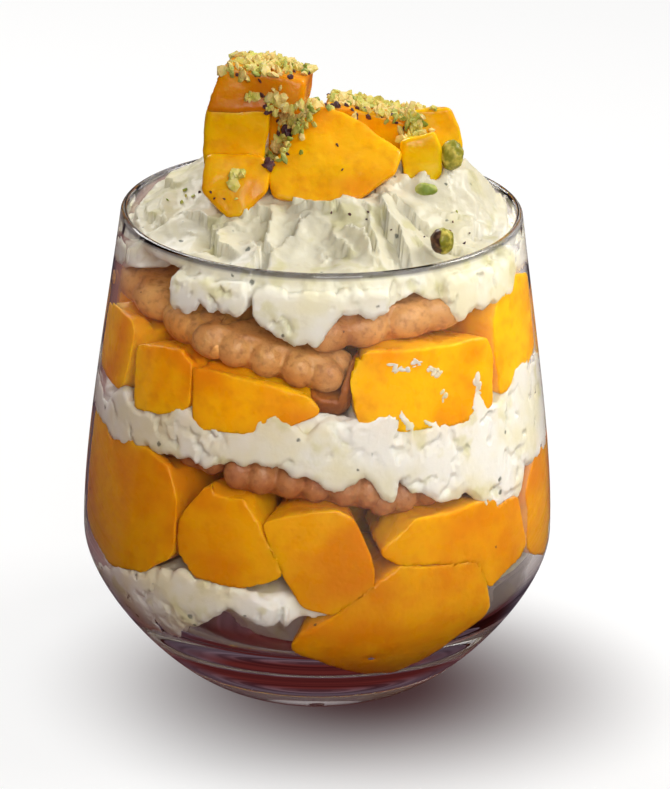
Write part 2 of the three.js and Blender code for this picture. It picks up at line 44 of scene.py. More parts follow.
print("frame loaded:", len(nodes), "nodes")


# Tools of the trade

def clearSelection():
    if bpy.context.object and bpy.context.object.mode != "OBJECT":
        bpy.ops.object.mode_set(mode="OBJECT")
    bpy.ops.object.select_all(action="DESELECT")


def pick(*objs):
    clearSelection()
    for obj in objs:
        obj.select_set(True)
    bpy.context.view_layer.objects.active = objs[0]
    return objs[0]


def modify(obj, kind, **settings):
    pick(obj)
    modifier = obj.modifiers.new(kind.title(), kind)
    for key, value in settings.items():
        setattr(modifier, key, value)
    bpy.ops.object.modifier_apply(modifier=modifier.name)


# Each step is an operator with its settings, run in edit mode on all of the mesh.
def edit(obj, *steps):
    pick(obj)
    bpy.ops.object.mode_set(mode="EDIT")
    for step, settings in steps:
        bpy.ops.mesh.select_all(action="SELECT")
        step(**settings)
    bpy.ops.object.mode_set(mode="OBJECT")


def joined(objs, name):
    pick(*objs)
    bpy.ops.object.join()
    objs[0].name = name
    return objs[0]


def linked(name, data):
    obj = bpy.data.objects.new(name, data)
    bpy.context.scene.collection.objects.link(obj)
    return obj


def copied(obj, name, matrix=None):
    twin = linked(name, obj.data.copy())
    if matrix is not None:
        twin.data.transform(matrix)
    return twin


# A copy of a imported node, with its loose triangles merged.
def nodeCopy(node, name):
    piece = copied(nodes[node], name)
    piece.data.materials.clear()
    edit(piece, (bpy.ops.mesh.remove_doubles, {"threshold": 0.02 * mm}))
    return piece


def onCircle(angle, radius, z):
    a = math.radians(angle)
    return Vector((radius * math.sin(a), -radius * math.cos(a), z))


# turn is (roll, pitch, yaw): about -Y as seen from the front, about X, and about Z.
def standing(at, turn):
    roll, pitch, yaw = (math.radians(a) for a in turn)
    tilt = Matrix.Rotation(pitch, 4, "X") @ Matrix.Rotation(-roll, 4, "Y")
    return Matrix.Translation(Vector(at) * mm) @ Matrix.Rotation(yaw, 4, "Z") @ tilt


def lerp(a, b, t):
    return a + (b - a) * t


def bezier(points, count):
    found = []
    for i in range(count + 1):
        t = i / count
        weights = ((1 - t) ** 3, 3 * t * (1 - t) ** 2, 3 * t * t * (1 - t), t ** 3)
        found.append(tuple(sum(w * p[k] for w, p in zip(weights, points)) for k in (0, 1)))
    return found


# Turns an outline of (radius, height) pairs round the axis.
def spun(name, outline, around):
    clearSelection()
    bpy.ops.mesh.primitive_plane_add(size=mm)
    shell = bpy.context.object
    shell.name = name
    bpy.ops.object.mode_set(mode="EDIT")
    bpy.ops.mesh.select_mode(type="VERT")
    bpy.ops.mesh.select_all(action="SELECT")
    bpy.ops.mesh.merge(type="CENTER")
    bpy.ops.transform.translate(value=(outline[0][0] * mm, 0, outline[0][1] * mm))
    for (r0, z0), (r1, z1) in zip(outline, outline[1:]):
        step = ((r1 - r0) * mm, 0, (z1 - z0) * mm)
        bpy.ops.mesh.extrude_region_move(TRANSFORM_OT_translate={"value": step})
    bpy.ops.mesh.select_all(action="SELECT")
    bpy.ops.mesh.spin(steps=around, angle=2 * math.pi, center=(0, 0, 0), axis=(0, 0, 1))
    bpy.ops.mesh.select_all(action="SELECT")
    bpy.ops.mesh.remove_doubles(threshold=0.005 * mm)
    bpy.ops.mesh.normals_make_consistent(inside=False)
    bpy.ops.object.mode_set(mode="OBJECT")
    bpy.ops.object.shade_smooth()
    return shell


# All the vertices of a piece in one table, in millimetres.
def pointsOf(obj, what="co"):
    table = np.empty(len(obj.data.vertices) * 3)
    obj.data.vertices.foreach_get(what, table)
    return table.reshape(-1, 3) / (mm if what == "co" else 1)


# How far each point is from the axis, and its angle round the glass.
def radiusOf(points):
    return np.hypot(points[:, 0], points[:, 1]) + 1e-6


def anglesOf(points):
    return np.degrees(np.arctan2(points[:, 0], -points[:, 1]))


def movePoints(obj, table):
    obj.data.vertices.foreach_set("co", (table * mm).ravel())
    obj.data.update()


def cloudTexture(name, size, depth):
    texture = bpy.data.textures.new(name, "CLOUDS")
    texture.noise_scale = size * mm
    texture.noise_depth = depth
    return texture


def displace(obj, texture, height):
    modify(obj, "DISPLACE", texture=texture, strength=height * mm, mid_level=0.5)


def swell(obj, height):
    modify(obj, "DISPLACE", strength=height * mm, mid_level=0)


def dress(obj, material, slot, *replaced):
    obj.data.materials.clear()
    obj.data.materials.append(material)
    for polygon in obj.data.polygons:
        polygon.use_smooth = True
    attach(obj, "root")
    if replaced:
        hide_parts(*replaced)
    return obj


# Effects that several materials share

# An input takes a value, or the output of another node.
def feed(tree, socket, value):
    if isinstance(value, bpy.types.NodeSocket):
        tree.links.new(value, socket)
    else:
        socket.default_value = value


def addNode(tree, kind, values=None, **settings):
    node = tree.nodes.new(kind)
    for key, value in settings.items():
        setattr(node, key, value)
    for key, value in (values or {}).items():
        feed(tree, node.inputs[key], value)
    return node


def mathNode(tree, operation, *values, kind="ShaderNodeMath"):
    return addNode(tree, kind, dict(enumerate(values)), operation=operation)


def vectorMath(tree, operation, *values):
    return mathNode(tree, operation, *values, kind="ShaderNodeVectorMath")


# A mask that is 0 where the value is low and 1 where it is high.
def ramp(tree, value, low, high, kind="LINEAR"):
    values = {"Value": value, "From Min": low, "From Max": high}
    return addNode(tree, "ShaderNodeMapRange", values, interpolation_type=kind).outputs["Result"]


def newGroup(name, inputs, output):
    tree = bpy.data.node_groups.new(name, "ShaderNodeTree")
    for label, value in inputs.items():
        socket = tree.interface.new_socket(label, in_out="INPUT", socket_type="NodeSocketFloat")
        socket.default_value = value
    tree.interface.new_socket(output, in_out="OUTPUT", socket_type="NodeSocketFloat")
    start = tree.nodes.new("NodeGroupInput")
    end = tree.nodes.new("NodeGroupOutput")
    place = addNode(tree, "ShaderNodeTexCoord")
    return tree, start.outputs, end.inputs[0], place.outputs["Object"]


# Cloudy patches, from 0 to 1.
def mottleGroup():
    inputs = {"Scale": 100, "Detail": 3, "Low": 0.35, "High": 0.65}
    tree, given, result, place = newGroup("mottle", inputs, "Mask")
    values = {"Vector": place, "Scale": given["Scale"], "Detail": given["Detail"]}
    clouds = addNode(tree, "ShaderNodeTexNoise", values).outputs["Fac"]
    feed(tree, result, ramp(tree, clouds, given["Low"], given["High"], "SMOOTHSTEP"))
    return tree


# Small dark flecks of uneven size and outline, scattered in the piece.
def fleckGroup():
    inputs = {"Scale": 300, "Size": 0.2, "Share": 0.3}
    tree, given, result, place = newGroup("flecks", inputs, "Mask")
    wobble = addNode(tree, "ShaderNodeTexNoise", {"Vector": place, "Scale": 1500, "Detail": 1})
    reach = (0.0006, 0.0006, 0.0006)
    shift = vectorMath(tree, "MULTIPLY_ADD", wobble.outputs["Color"], reach, place)
    values = {"Vector": shift.outputs[0], "Scale": given["Scale"]}
    cells = addNode(tree, "ShaderNodeTexVoronoi", values)
    parts = addNode(tree, "ShaderNodeSeparateColor", {0: cells.outputs["Color"]})
    kept = mathNode(tree, "LESS_THAN", parts.outputs[0], given["Share"])
    size = mathNode(tree, "MULTIPLY", parts.outputs[1], given["Size"]).outputs[0]
    core = mathNode(tree, "MULTIPLY", size, 0.6)
    spot = ramp(tree, cells.outputs["Distance"], size, core.outputs[0])
    feed(tree, result, mathNode(tree, "MULTIPLY", spot, kept.outputs[0]).outputs[0])
    return tree


# Relief for a bump: a coarse and a fine noise together.
def reliefGroup():
    inputs = {"Coarse": 400, "Fine": 1600, "Share": 0.4}
    tree, given, result, place = newGroup("relief", inputs, "Height")
    layers = {0: given["Share"]}
    for socket, scale, detail in ((2, "Coarse", 2), (3, "Fine", 3)):
        values = {"Vector": place, "Scale": given[scale], "Detail": detail}
        layers[socket] = addNode(tree, "ShaderNodeTexNoise", values).outputs["Fac"]
    feed(tree, result, addNode(tree, "ShaderNodeMix", layers).outputs[0])
    return tree


# A mask that grows from 0 at one height, in metres, to its amount at another.
def levelGroup():
    tree, given, result, place = newGroup("level", {"From": 0, "To": 0.1, "Amount": 1}, "Mask")
    height = addNode(tree, "ShaderNodeSeparateXYZ", {0: place}).outputs["Z"]
    mask = ramp(tree, height, given["From"], given["To"])
    feed(tree, result, mathNode(tree, "MULTIPLY", mask, given["Amount"]).outputs[0])
    return tree


effects = {"mottle": mottleGroup(), "flecks": fleckGroup(), "relief": reliefGroup(), "level": levelGroup()}


def effect(tree, name, **values):
    return addNode(tree, "ShaderNodeGroup", values, node_tree=effects[name]).outputs[0]


# A colour that goes over to another one where a mask says so.
def blend(tree, mask, first, second):
    mixer = addNode(tree, "ShaderNodeMix", {0: mask}, data_type="RGBA")
    for index, colour in ((6, first), (7, second)):
        feed(tree, mixer.inputs[index], (*colour, 1) if isinstance(colour, tuple) else colour)
    return mixer.outputs[2]


# A mask stretched to run from low to high.
def span(tree, mask, low, high):
    values = {"Value": mask, "To Min": low, "To Max": high}
    return addNode(tree, "ShaderNodeMapRange", values).outputs["Result"]


def newMaterial(name, **values):
    material = bpy.data.materials.new(name)
    material.use_nodes = True
    tree = material.node_tree
    shader = tree.nodes["Principled BSDF"]
    for key, value in values.items():
        shader.inputs[key.replace("_", " ")].default_value = value
    return material, tree, shader


def mixShaders(tree, share, first, second):
    return addNode(tree, "ShaderNodeMixShader", {0: share, 1: first, 2: second}).outputs[0]


def addBump(tree, shader, height, strength, distance):
    values = {"Height": height, "Strength": strength, "Distance": distance * mm}
    feed(tree, shader.inputs["Normal"], addNode(tree, "ShaderNodeBump", values).outputs[0])


# The tumbler

tumbler = {
    "height": 95,
    "rimRadius": 38.2,
    "bellyRadius": 46,
    "bellyHeight": 30.2,
    "footRadius": 21,
    "wall": 2,
    "rimWall": 1.5,
    "floor": 8.5,
    "around": 144,  # steps round the axis
    "clear": (0.97, 0.985, 0.98),
    "shadow": (0.93, 0.94, 0.94, 1),
    # painted shade: dark tints for the glass at the rim and at the foot
    "rimTint": (0.15, 0.15, 0.19),
    "footTint": (0.2, 0.09, 0.09),
}


def outerOutline():
    s = tumbler
    taper = s["height"] - s["bellyHeight"]
    foot, belly, rim = s["footRadius"], s["bellyRadius"], s["rimRadius"]
    lower = bezier([
        (foot, 0), (lerp(foot, belly, 0.3), 0),
        (belly, s["bellyHeight"] * 0.67), (belly, s["bellyHeight"]),
    ], 26)
    upper = bezier([
        (belly, s["bellyHeight"]), (belly, s["bellyHeight"] + taper * 0.25),
        (lerp(rim, belly, 0.4), s["height"] - taper * 0.35), (rim, s["height"] - s["rimWall"] / 2),
    ], 22)
    return lower + upper[1:]


def innerOutline():
    s = tumbler
    taper = s["height"] - s["bellyHeight"]
    belly, rim = s["bellyRadius"] - s["wall"], s["rimRadius"] - s["rimWall"]
    basin = bezier([
        (0, s["floor"]), (28, s["floor"]), (belly, s["bellyHeight"] * 0.56), (belly, s["bellyHeight"] + 1),
    ], 26)
    side = bezier([
        (belly, s["bellyHeight"] + 1), (belly, s["bellyHeight"] + taper * 0.25),
        (lerp(rim, belly, 0.4), s["height"] - taper * 0.35), (rim, s["height"] - s["rimWall"] / 2),
    ], 22)
    return basin + side[1:]


def rimOutline():
    half = tumbler["rimWall"] / 2
    centre = tumbler["rimRadius"] - half
    turns = [math.pi * i / 8 for i in range(1, 8)]
    return [(centre + half * math.cos(t), tumbler["height"] - half + half * math.sin(t)) for t in turns]


bowl = innerOutline()


def bowlRadius(z):
    return np.interp(z, [p[1] for p in bowl], [p[0] for p in bowl])


# The space that the food fills, and this much of the wall, so that no air is left between them.
def reachShape(name, depth):
    flat = 20  # radius of the part that goes down, not out
    above = 140  # higher than all the food
    low = [(r, z - depth) for r, z in bowl if r <= flat]
    wide = [(r + depth, z) for r, z in bowl if r > flat]
    return spun(name, low + wide + [(bowl[-1][0] + depth, above), (0, above)], 120)


def glassMaterial():
    material, tree, shader = newMaterial("tumblerGlass", Roughness=0.0, IOR=1.46, Transmission_Weight=1)
    # painted shade: the glass is tinted dark in a band at the rim and at the foot
    rim = effect(tree, "level", From=0.0936, To=0.0943)
    foot = effect(tree, "level", From=0.005, To=0.0015)
    colour = blend(tree, rim, tumbler["clear"], tumbler["rimTint"])
    colour = blend(tree, foot, colour, tumbler["footTint"])
    feed(tree, shader.inputs["Base Color"], colour)
    clear = addNode(tree, "ShaderNodeBsdfTransparent", {0: tumbler["shadow"]})
    path = addNode(tree, "ShaderNodeLightPath")
    mixed = mixShaders(tree, path.outputs["Is Shadow Ray"], shader.outputs[0], clear.outputs[0])
    feed(tree, tree.nodes["Material Output"].inputs["Surface"], mixed)
    return material


outline = [(0, 0)] + outerOutline() + rimOutline() + bowl[::-1]
tumblerPiece = spun("tumbler", outline, tumbler["around"])
dress(tumblerPiece, glassMaterial(), "glass", "glass")
print("tumbler spun")


# Mango

mango = {
    "voxel": 0.6,
    "swell": 0.35,
    "soften": 2,
    "reach": 0.3,  # into the wall
    "press": 1.5,  # towards the wall, in full at pressFull from it and not at all at pressFrom
    "pressFull": 1,
    "pressFrom": 3.5,
    "lumpSize": 8,
    "lumpHeight": {"Upper": 0.8, "Lower": 1.3, "Top": 1.3},
    "grainSize": 2.2,
    "grainHeight": {"Upper": 0.14, "Lower": 0.14, "Top": 0.22},
    "topVoxel": 0.35,
    "topBevel": 0.7,
    "topSoften": 3,
    "flesh": ((0.97, 0.5, 0.001), (0.8, 0.27, 0.0005)),
    # a darker flesh, as painted shade, and a lighter one, as painted light, for some of the chunks on top
    "ripe": ((0.8, 0.3, 0.0005), (0.62, 0.17, 0.0005)),
    "light": ((1, 0.6, 0.001), (0.95, 0.48, 0.0005)),
    "amber": (0.6, 0.18, 0.0005),
    # painted shade low in the glass
    "steeped": (0.42, 0.14, 0.0005),
    "fleck": (0.1, 0.02, 0.01),
}


def mangoMaterial(name, yellow, orange):
    material, tree, shader = newMaterial(
        name, Subsurface_Weight=0.35, Subsurface_Scale=4 * mm, Subsurface_Radius=(1, 0.35, 0.04),
        Specular_IOR_Level=0.2, Coat_Weight=0.06, Coat_Roughness=0.15,
    )
    patches = effect(tree, "mottle", Scale=70, Detail=2, Low=0.35, High=0.66)
    veins = effect(tree, "mottle", Scale=420, Detail=4, Low=0.45, High=0.75)
    # painted shade: the flesh darkens towards the bottom of the glass
    low = effect(tree, "level", From=0.075, To=0.035, Amount=0.5)
    flecks = effect(tree, "flecks", Scale=210, Size=0.09, Share=0.12)
    wet = effect(tree, "mottle", Scale=260, Detail=2, Low=0.3, High=0.7)
    colour = blend(tree, patches, yellow, orange)
    colour = blend(tree, low, colour, mango["steeped"])
    colour = blend(tree, span(tree, veins, 0, 0.35), colour, mango["amber"])
    colour = blend(tree, flecks, colour, mango["fleck"])
    feed(tree, shader.inputs["Base Color"], colour)
    feed(tree, shader.inputs["Roughness"], span(tree, wet, 0.22, 0.42))
    addBump(tree, shader, effect(tree, "relief", Coarse=350, Fine=1300, Share=0.35), 0.35, 0.5)
    return material


mangoFlesh = mangoMaterial("mangoFlesh", *mango["flesh"])
# darker and lighter copies of the flesh, which paint shade and light on the chunks on top that get them
mangoRipe = mangoMaterial("mangoRipe", *mango["ripe"])
mangoLight = mangoMaterial("mangoLight", *mango["light"])
mangoReach = reachShape("mangoReach", mango["reach"])
mangoLumps = cloudTexture("mangoLumps", mango["lumpSize"], 1)
mangoGrain = cloudTexture("mangoGrain", mango["grainSize"], 2)


def pressToGlass(piece, reach):
    modify(piece, "SHRINKWRAP", target=reach, wrap_method="NEAREST_SURFACEPOINT", wrap_mode="INSIDE")


# What lies close to the wall goes out, so that it ends flat against the glass.
def pushOutwards(piece):
    points = pointsOf(piece)
    radius = radiusOf(points)
    share = np.interp(radius - bowlRadius(points[:, 2]), (-mango["pressFrom"], -mango["pressFull"]), (0, 1))
    points[:, :2] *= (1 + share * mango["press"] / radius)[:, None]
    movePoints(piece, points)


def mangoInGlass(node):
    layer = node.split("_")[1].title()
    name = "mango" + layer + node[-2:]
    piece = nodeCopy(node, name)
    modify(piece, "REMESH", mode="VOXEL", voxel_size=mango["voxel"] * mm)
    modify(piece, "SMOOTH", factor=0.5, iterations=mango["soften"])
    swell(piece, mango["swell"])
    displace(piece, mangoLumps, mango["lumpHeight"][layer])
    displace(piece, mangoGrain, mango["grainHeight"][layer])
    pushOutwards(piece)
    pressToGlass(piece, mangoReach)
    return dress(piece, mangoFlesh, "mango", node)


for node in sorted(n for n in nodes if n.startswith(("mango_lower", "mango_upper"))):
    mangoInGlass(node)
print("mango in the glass cut")


# The chunks on top, as in the solids. A chunk's face in front has a corner at each (x, z) and lies
# back by lean for each mm up, with blunt points (x, z, height) on it. Its far side is that face
# again, shrunk, at the offset back.
topCubes = {
    "front": {
        "face": [
            (-10.5, 105), (-4, 113), (-0.5, 115.2), (4, 114.5), (14.6, 108.5), (13.7, 105.5),
            (7, 101.8), (2, 100.5), (-4, 100.8), (-9.2, 102),
        ],
        "crowns": [(-1.5, 108, 1.6), (3.5, 107, 1.8)],
        "front": -17, "lean": 1.15, "back": (0, 8, -5),
    },
    "left": {
        "face": [
            (-21.5, 108.5), (-11, 108.5), (-9.5, 106), (-10, 102.5), (-14.5, 98.5), (-17.5, 98),
            (-22.3, 102.5),
        ],
        "crowns": [(-15, 103.5, 1.2)],
        "front": -17, "lean": 0.6, "back": (0, 8, -3),
    },
    "right": {
        "face": [(14.6, 110), (21, 112.2), (22.6, 108.5), (22.4, 104), (20.5, 101.5), (15, 103)],
        "front": -7, "lean": 0.15, "back": (0, 9, -2), "flesh": mangoLight,
    },
    "corner": {
        "face": [(15.8, 113), (24, 113.8), (26, 110), (27, 106), (25.5, 102), (17, 101)],
        "front": 2, "lean": 0.15, "back": (0, 10, -2), "flesh": mangoLight,
    },
    "lower": {
        "face": [(-21.5, 116.4), (-22.2, 108), (-21.5, 102.5), (-11.5, 102.5), (-9.6, 116.5)],
        "front": -8, "back": (0, 13, 0), "shrink": 0.95, "flesh": mangoLight,
    },
    "upper": {
        "face": [
            (-21.8, 115.8), (-20.5, 120.4), (-18.6, 124.6), (-15, 123.6), (-3.4, 121.8), (-4.4, 115.6),
        ],
        "front": -8.5, "lean": 0.15, "back": (2.6, 12, -0.5), "shrink": 0.92, "flesh": mangoRipe,
    },
    "back": {"face": [(0.5, 114), (20, 109.5), (17, 97), (-2.5, 101.5)], "front": 5.5, "back": (0, 13, 0)},
    "middle": {
        "face": [(-10.6, 116), (-3.5, 115.5), (1.6, 112.5), (1.8, 100.5), (-10.4, 100.3)],
        "front": -1, "back": (0, 12, -1),
    },
}


# A knife-cut chunk: the hull of its near and its far face, with a narrow bevel on each edge.
def cubeOnTop(label, face, front, back, lean=0, shrink=0.85, crowns=(), flesh=mangoFlesh):
    foot = min(z for x, z in face)
    near = [Vector((x, front + lean * (z - foot), z)) for x, z in face]
    middle = sum(near, Vector()) / len(near)
    far = [middle.lerp(p, shrink) + Vector(back) for p in near]
    blunt = [Vector((x, front + lean * (z - foot) - height, z)) for x, z, height in crowns]
    corners = np.array(near + blunt + far)
    clearSelection()
    bpy.ops.mesh.primitive_circle_add(vertices=len(corners), radius=mm)
    piece = bpy.context.object
    piece.name = "mangoTop" + label.title()
    movePoints(piece, corners)
    flatten = {"angle_limit": math.radians(4)}
    edit(piece, (bpy.ops.mesh.convex_hull, {}), (bpy.ops.mesh.dissolve_limited, flatten))
    modify(piece, "BEVEL", width=mango["topBevel"] * mm, segments=2)
    modify(piece, "REMESH", mode="VOXEL", voxel_size=mango["topVoxel"] * mm)
    modify(piece, "SMOOTH", factor=0.5, iterations=mango["topSoften"])
    displace(piece, mangoLumps, mango["lumpHeight"]["Top"])
    displace(piece, mangoGrain, mango["grainHeight"]["Top"])
    return dress(piece, flesh, "mango", "mango_top_" + label)


topPieces = [cubeOnTop(label, **settings) for label, settings in topCubes.items()]
print("mango on top cut")


# Biscuits

biscuit = {
    "voxel": 0.42,
    "swell": 0.15,
    "soften": 2,
    "reach": 0.15,  # into the wall
    "pitch": 5.2,  # from scallop to scallop
    "ear": 3.4,  # size of the corners
    "bevel": 1.4,
    "beadShare": 0.52,  # radius of a bead as a share of the pitch
    "beadDepth": 2.6,  # its largest radius from front to back
    "beadHeight": 3.3,
    "beadInset": 0.9,  # from the front edge to the middle of a bead
    "cornerInset": 1.6,
    "sideInset": 0.6,
    "slabInset": 0.9,
    "riseHeight": 0.4,
    "crumbHeight": 0.22,
    "baked": (0.45, 0.17, 0.04),
    "pale": (0.6, 0.29, 0.085),
    "toasted": (0.2, 0.055, 0.015),
    # painted shade low in the glass
    "soaked": (0.3, 0.09, 0.035),
    "pore": (0.12, 0.04, 0.015),
}
# Where each biscuit's front edge lies, as in the solids, with the pitch of its scallops as lobe.
# Each scallop is a round bead, and the slab behind the beads keeps back from their row.
biscuitPlaces = {
    "upper_01": {"angle": -57, "z": 79.6, "width": 28, "roll": -6, "pitch": 12, "lobe": 11},
    "upper_02": {"angle": -16, "z": 76.4, "width": 25, "roll": -13, "pitch": 14, "lobe": 6},
    "upper_04": {"angle": 21, "z": 83, "width": 24, "roll": 5, "pitch": 8, "lobe": 8},
    "upper_05": {"angle": 115, "z": 83.5, "width": 28, "roll": 5},
    "upper_06": {"angle": 168, "z": 81.5, "width": 31, "roll": -4},
    "upper_07": {"angle": 222, "z": 82.5, "width": 29, "roll": 6},
    "lower_01": {"angle": -47, "z": 57.4, "width": 24, "roll": -3, "inset": 1},
    "lower_02": {"angle": -4, "z": 54, "width": 27, "roll": -7, "pitch": 5},
    "lower_03": {"angle": 32, "z": 51.3, "width": 22, "roll": 2, "inset": 1},
    "lower_04": {"angle": 68, "z": 50.5, "width": 24, "roll": 6, "inset": 1},
    "lower_05": {"angle": 120, "z": 54, "width": 30, "roll": -5},
    "lower_06": {"angle": 178, "z": 55, "width": 32, "roll": 4},
    "lower_07": {"angle": 240, "z": 54.5, "width": 30, "roll": -4},
}


def biscuitMaterial(name, baked, pale):
    material, tree, shader = newMaterial(name, Subsurface_Weight=0.08, Subsurface_Scale=1.5 * mm)
    patches = effect(tree, "mottle", Scale=110, Detail=2, Low=0.32, High=0.62)
    crumb = effect(tree, "mottle", Scale=800, Detail=4, Low=0.46, High=0.72)
    # painted shade: the biscuit darkens towards the bottom of the glass
    low = effect(tree, "level", From=0.07, To=0.058, Amount=0.6)
    pores = effect(tree, "flecks", Scale=700, Size=0.2, Share=0.15)
    colour = blend(tree, patches, baked, pale)
    colour = blend(tree, low, colour, biscuit["soaked"])
    colour = blend(tree, span(tree, crumb, 0, 0.5), colour, biscuit["toasted"])
    colour = blend(tree, pores, colour, biscuit["pore"])
    feed(tree, shader.inputs["Base Color"], colour)
    feed(tree, shader.inputs["Roughness"], span(tree, crumb, 0.4, 0.7))
    addBump(tree, shader, effect(tree, "relief", Coarse=500, Fine=2200, Share=0.5), 0.55, 0.5)
    return material


bakedBiscuit = biscuitMaterial("bakedBiscuit", biscuit["baked"], biscuit["pale"])
# one that is paler than the others, as painted light, and a darker one, as painted shade, for the broken
# piece that stands between two chunks
biscuitLooks = {
    "upper_01": biscuitMaterial("paleBiscuit", (0.62, 0.25, 0.045), (0.78, 0.4, 0.11)),
    "upper_03": biscuitMaterial("soakedBiscuit", (0.3, 0.07, 0.004), (0.42, 0.14, 0.008)),
}
biscuitReach = reachShape("biscuitReach", biscuit["reach"])
bakedRise = cloudTexture("biscuitRise", 5, 1)
crumbTexture = cloudTexture("biscuitCrumb", 1.6, 3)


def makeBead():
    clearSelection()
    bpy.ops.mesh.primitive_uv_sphere_add(segments=20, ring_count=12, radius=mm)
    return bpy.context.object


# Where a biscuit stands, its half width, and the pitch of its beads.
def biscuitRow(angle, z, width, roll=0, pitch=0, inset=0.4, lobe=biscuit["pitch"]):
    chord = math.sqrt(bowlRadius(z) ** 2 - (width / 2) ** 2) - biscuit["bevel"] - inset
    stand = standing(onCircle(angle, chord, z), (roll, pitch, angle))
    row = width - 2 * biscuit["ear"]
    return stand, width / 2, row / round(row / lobe)


# The solid's own scallops are pressed back, so that only the beads stand out.
def flattenEdge(piece, stand, half):
    keep = biscuit["slabInset"]
    for vertex in piece.data.vertices:
        local = stand.inverted() @ vertex.co
        local.y = max(local.y, keep * mm)
        local.x = min(max(local.x, (keep - half) * mm), (half - keep) * mm)
        vertex.co = stand @ local


def scallops(stand, half, size):
    ear = biscuit["ear"]
    count = round(2 * (half - ear) / size)
    wide = biscuit["beadShare"] * size
    shape = (wide, min(wide, biscuit["beadDepth"]), biscuit["beadHeight"], 1)
    spots = [((i + 0.5 - count / 2) * size, biscuit["beadInset"]) for i in range(count)]
    for side in (-1, 1):
        spots.append((side * (half - ear / 2 + 0.2), biscuit["cornerInset"]))
        spots.append((side * (half - biscuit["sideInset"]), ear + 2.2))
    beads = []
    for x, y in spots:
        place = stand @ Matrix.Translation(Vector((x, y, 0)) * mm) @ Matrix.Diagonal(shape)
        beads.append(copied(roundBead, "bead", place))
    return beads


def biscuitInGlass(node):
    place = node.replace("biscuit_", "")
    name = "biscuit" + place.replace("_", "").title()
    piece = nodeCopy(node, name)
    if place in biscuitPlaces:
        stand, half, size = biscuitRow(**biscuitPlaces[place])
        flattenEdge(piece, stand, half)
        joined([piece] + scallops(stand, half, size), name)
    modify(piece, "REMESH", mode="VOXEL", voxel_size=biscuit["voxel"] * mm)
    modify(piece, "SMOOTH", factor=0.5, iterations=biscuit["soften"])
    swell(piece, biscuit["swell"])
    displace(piece, bakedRise, biscuit["riseHeight"])
    displace(piece, crumbTexture, biscuit["crumbHeight"])
    pressToGlass(piece, biscuitReach)
    return dress(piece, biscuitLooks.get(place, bakedBiscuit), "biscuit", node)


roundBead = makeBead()
for node in sorted(n for n in nodes if n.startswith("biscuit_")):
    biscuitInGlass(node)
bpy.data.objects.remove(roundBead)
print("biscuits laid")


# Cream

cream = {
    "voxel": {"cream_top": 0.45, "cream_middle": 0.5, "cream_bottom": 0.6},
    "swell": 0.3,
    "soften": 2,
    "reach": 0.45,  # into the wall
    "bodyInset": 1.6,  # from the wall, behind the band that makes the outside
    "bandThickness": 2.4,
    "columns": 720,
    "rows": 14,
    "teeth": 0.9,
    "recess": 1.3,
    "white": (0.74, 0.72, 0.66),
    "rich": (0.71, 0.67, 0.52),
    "butter": (0.7, 0.65, 0.46),
    "leaf": (0.56, 0.52, 0.24),
    "speck": (0.1, 0.11, 0.08),
}
# Edges of the cream against the glass, as (angle, height), in front; behind, each edge wanders
# about a height of its own.
creamEdges = {
    "topUpper": {"back": 91.2, "wander": 0.5, "traced": []},
    "topLower": {"back": 86, "wander": 3.5, "traced": [
        (-88, 84), (-57, 89), (-46, 88), (-45, 85), (-39, 84), (-37, 84.5), (-35, 87.5), (-32, 85),
        (-23, 85.5), (-19, 88.5), (-18, 85), (-16, 84), (-1, 81), (6, 87.5), (14, 86), (23, 87.5),
        (36, 90), (41, 82), (48, 84), (66, 83), (70, 86.5), (88, 85),
    ]},
    "middleUpper": {"back": 67, "wander": 2.5, "traced": [
        (-95, 66), (-74, 61), (-68, 61.5), (-65, 64.5), (-61, 66), (-58, 63), (-44, 64), (-38, 67.5),
        (-34, 65.5), (-21, 64), (-11, 69.5), (-3, 64.5), (3, 67.5), (13, 68), (22, 70.5), (25, 67),
        (32, 67.5), (34, 66), (41, 65), (45, 71), (48, 66.5), (54, 65), (63, 71), (90, 67),
    ]},
    "middleLower": {"back": 55, "wander": 3.5, "traced": [
        (-90, 56), (-63, 54.5), (-40, 57.5), (-29, 56.5), (-23, 58.5), (-11, 59), (4, 54), (12, 57),
        (16, 52.5), (19, 51.5), (21, 57), (24, 52), (28, 52), (33, 49.5), (40, 50.5), (46, 46),
        (61, 44.5), (64, 50), (80, 48.5), (92, 53),
    ]},
    "bottomUpper": {"back": 33, "wander": 2, "traced": [
        (-90, 30), (-80, 27.5), (-70, 28), (-35, 35.5), (-19, 35), (-6, 31), (30, 31), (70, 34), (90, 34),
    ]},
    "bottomLower": {"back": 8.6, "wander": 0.1, "traced": [
        (-92, 9), (-70, 15.5), (-39, 20.5), (-20, 30.5), (-16, 28), (30, 29), (70, 33), (80, 31), (94, 9),
    ]},
}
# Smears on the glass in front of the fruit, as (angle, height, width, height, count): each is a
# cluster of that many thin scraps.
creamSmears = [
    (22.5, 77, 8, 2.2, 12), (31, 75, 5, 1.8, 7), (34, 70.5, 1, 3.4, 4), (45.5, 70, 1.4, 5, 6),
]


